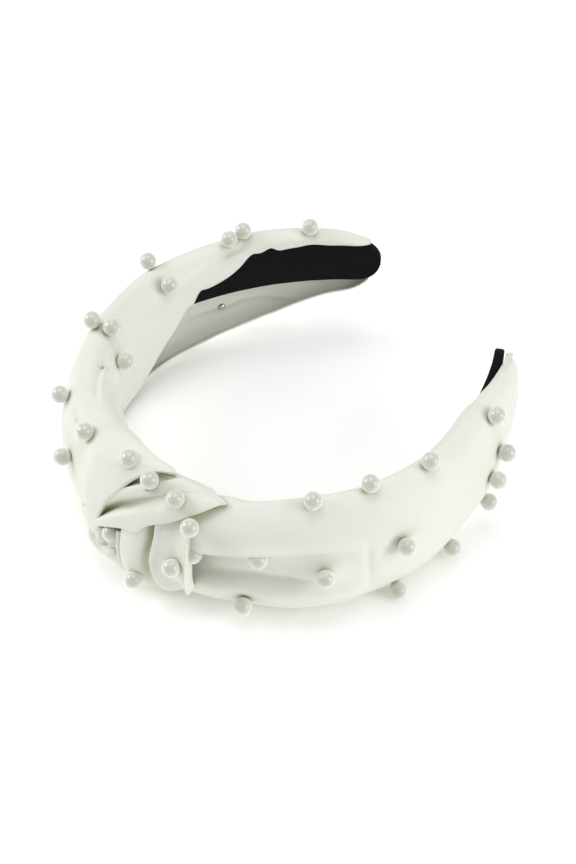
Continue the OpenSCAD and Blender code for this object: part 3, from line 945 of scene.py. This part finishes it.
def inner_wrap():
    """The loop at the back of the knot: a pleated band from the top down to the underside."""
    path = spline(np.array(INNER_PATH), 14)
    s = np.linspace(INNER_FROM, INNER_TO, 150)
    top = look_up(INNER_TOP, s)[:, None]
    s_grid, down = np.meshgrid(s, np.linspace(0, 1, len(path)), indexing="ij")
    z = top + path[:, 1] * ((top - INNER_BOTTOM) / INNER_HEIGHT)
    pleat = PLEAT_HEIGHT * np.cos((s_grid - 15 + 3 * (down - 0.5)) * 2 * math.pi / PLEAT_PITCH)
    # the left end is tucked under the cover, and the right end turns in
    edge = np.clip(np.minimum((s_grid - INNER_FROM) / 4, (INNER_TO - s_grid) / 1.4), 0, 1)
    puff = pleat * np.sin(np.pi * down) ** 0.5 - 1.2 * (1 - np.sqrt(edge * (2 - edge)))
    grid = at(s_grid, path[:, 0] - puff, z)
    piece = satin_piece("knot_inner_satin", grid, KNOT_THICK, "knot_inner_wrap")
    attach(piece, "crown")


knot_piece("knot_over_satin", OVER, 110, 9, "knot_over_band", 2.2, rise=4.5)
knot_piece("knot_wrap_satin", WRAP, 110, 9, "knot_wrap_band", 6.4)
knot_piece("knot_tuck_satin", TUCK, 90, 8, "knot_tuck", 9.1)
inner_wrap()


# ---- the sleeve and the strip inside it ----

# The right arm is pinched a little where it comes out of the knot, and its tip is trimmed
PINCH, PINCH_FROM, PINCH_RUN = 1.5, 34, 12
TIP_TRIM = {"left": 0, "right": 2.2}
# Both halves start in the middle of the knot
HALF_FROM = 15


def strip_grid(side, half, n_in, n_out, trim, corner):
    """Rings round a flat strip with rounded edges, from the knot's middle to one rounded tip."""
    end = BAND_HALF - trim
    pinch = PINCH if side > 0 else 0
    rows = [(s, half - pinch * (1 - smooth((s - PINCH_FROM) / PINCH_RUN)))
            for s in np.linspace(HALF_FROM * side, end - half, 150)[:-1]]
    rows += [(end - half * (1 - math.cos(p)), half * math.sin(p)) for p in np.radians(np.linspace(90, 3, 16))]
    grid = []
    for s, h in rows:
        c = min(corner, h * 0.9)
        ring = []
        for n, z, first in ((n_out - c, h - c, 0), (n_in + c, h - c, 90),
                            (n_in + c, c - h, 180), (n_out - c, c - h, 270)):
            for p in np.radians(first + np.linspace(0, 90, 7)):
                ring.append((side * s, n + c * math.cos(p), STRIP_Z + z + c * math.sin(p)))
        grid.append(at(*np.array(ring).T))
    return np.array(grid)


def strip_piece(name, word, half, n_in, n_out, trim, corner, mat, node, wobble=0.0):
    """One half of the sleeve or of the strip."""
    grid = strip_grid(-1 if word == "left" else 1, half, n_in, n_out, TIP_TRIM[word] + trim, corner)
    if wobble:
        grid = grid + normals_of(grid, closed=True) * lumps(grid, 5, wobble, 4.4)[..., None]
    piece = closed_mesh_of(name, grid)
    finish_piece(piece, mat, node)
    flex_with(piece, word + "_arm")


for word in ("left", "right"):
    strip_piece("sleeve_%s_velvet" % word, word, SLEEVE_HALF, -1.9, 1.3, 0, 0.9, VELVET,
                "velvet_sleeve", 0.08)
    strip_piece("core_%s_strip" % word, word, SLEEVE_HALF - 0.7, -0.8, 0.8, 1, 0.4, PLASTIC,
                "core_band")


# ---- the pearls, their pins and the stitches ----

def pearl_profile():
    """Half outline of a pearl from its drilled seat to its crown: (radius, height) in millimetres."""
    points = [(0.55, -2.2), (0.58, -2.86), (0.72, -2.93)]
    for k in range(1, 23):
        p = math.radians(-75 + 165 * k / 23)
        points.append((PEARL_R * math.cos(p), PEARL_R * math.sin(p)))
    return points


def pin_profile():
    """Half outline of a rivet pin, from the crown of its domed head to the end of its shank."""
    dome = [(1.25 * math.sin(p), -3.55 - 0.8 * math.cos(p)) for p in map(math.radians, range(12, 91, 13))]
    return dome + [(1.2, -3.5), (0.5, -3.48), (0.5, -3.2), (0.5, -2.4), (0.46, -2.2)]


def lathed_group(name, side, body, node, profile, turns, ends, mat):
    """One turned solid at each seat. ends gives the heights where the outline meets its axis."""
    angles = [2 * math.pi * k / turns for k in range(turns)]
    circle = [(math.cos(p), math.sin(p)) for p in angles]
    bm = bmesh.new()
    for centre, d, _ in PEARLS[side]:
        place = Matrix.Translation(Vector(centre)) @ Vector(d).to_track_quat("Z", "Y").to_matrix().to_4x4()
        rings = [[bm.verts.new(place @ (Vector((r * x, r * y, h)) * MM)) for x, y in circle]
                 for r, h in profile]
        base, top = [bm.verts.new(place @ Vector((0, 0, h * MM))) for h in ends]
        for k in range(turns):
            after = (k + 1) % turns
            for a, b in zip(rings[:-1], rings[1:]):
                bm.faces.new((a[k], a[after], b[after], b[k]))
            bm.faces.new((rings[-1][k], rings[-1][after], top))
            bm.faces.new((rings[0][after], rings[0][k], base))
    bmesh.ops.recalc_face_normals(bm, faces=bm.faces)
    mesh = bpy.data.meshes.new(name)
    bm.to_mesh(mesh)
    bm.free()
    piece = new_object(name, mesh)
    finish_piece(piece, mat, node)
    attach(piece, body)


for side, body in (("left", "left_arm"), ("right", "right_arm"), ("knot", "crown")):
    lathed_group("pearls_%s_nacre" % side, side, body, "pearls_" + side,
                 pearl_profile(), 40, (-1.9, PEARL_R), PEARL)
    lathed_group("rivets_%s_steel" % side, side, body, "rivet_pins_" + side,
                 pin_profile(), 20, (-4.37, -2.15), STEEL)

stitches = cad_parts["knot_stitches"]
if not stitches.material_slots:
    stitches.data.materials.append(THREAD)
for place in stitches.material_slots:
    place.link = "OBJECT"
    place.material = THREAD


# ---- the stage ----

# Size and aim of the soft lights; each has a place in metres and a power in watts
LIGHT_AIM = (0, 0, 0.02)
LIGHTS = [("left_light", (-0.8, -0.72, 0.72), 0.7, 6.8), ("right_light", (0.95, 0.42, 0.5), 0.7, 5),
          ("top_light", (-0.1, 0.1, 1.4), 0.9, 6)]


def stage():
    mat, tree = new_material("floor_white")
    surface(tree, {
        "Base Color": (0.95, 0.95, 0.95, 1),
        "Roughness": 0.9,
        "Specular IOR Level": 0.1,
        "Emission Color": (1, 1, 1, 1),
        "Emission Strength": 0.22,
    })
    bpy.ops.mesh.primitive_plane_add(size=8, location=(0, 0, -0.0004))
    floor = bpy.context.object
    floor.name = "floor"
    floor.data.materials.append(mat)
    world = bpy.data.worlds.new("studio")
    scene.world = world
    world.use_nodes = True
    world.node_tree.nodes["Background"].inputs["Color"].default_value = (1, 1, 1, 1)
    world.node_tree.nodes["Background"].inputs["Strength"].default_value = 0.36
    for name, place, size, power in LIGHTS:
        data = bpy.data.lights.new(name, "AREA")
        data.shape = "RECTANGLE"
        data.size, data.size_y = size, size
        data.energy = power
        light = bpy.data.objects.new(name, data)
        scene.collection.objects.link(light)
        light.location = place
        light.rotation_euler = (Vector(LIGHT_AIM) - Vector(place)).to_track_quat("-Z", "Y").to_euler()


stage()
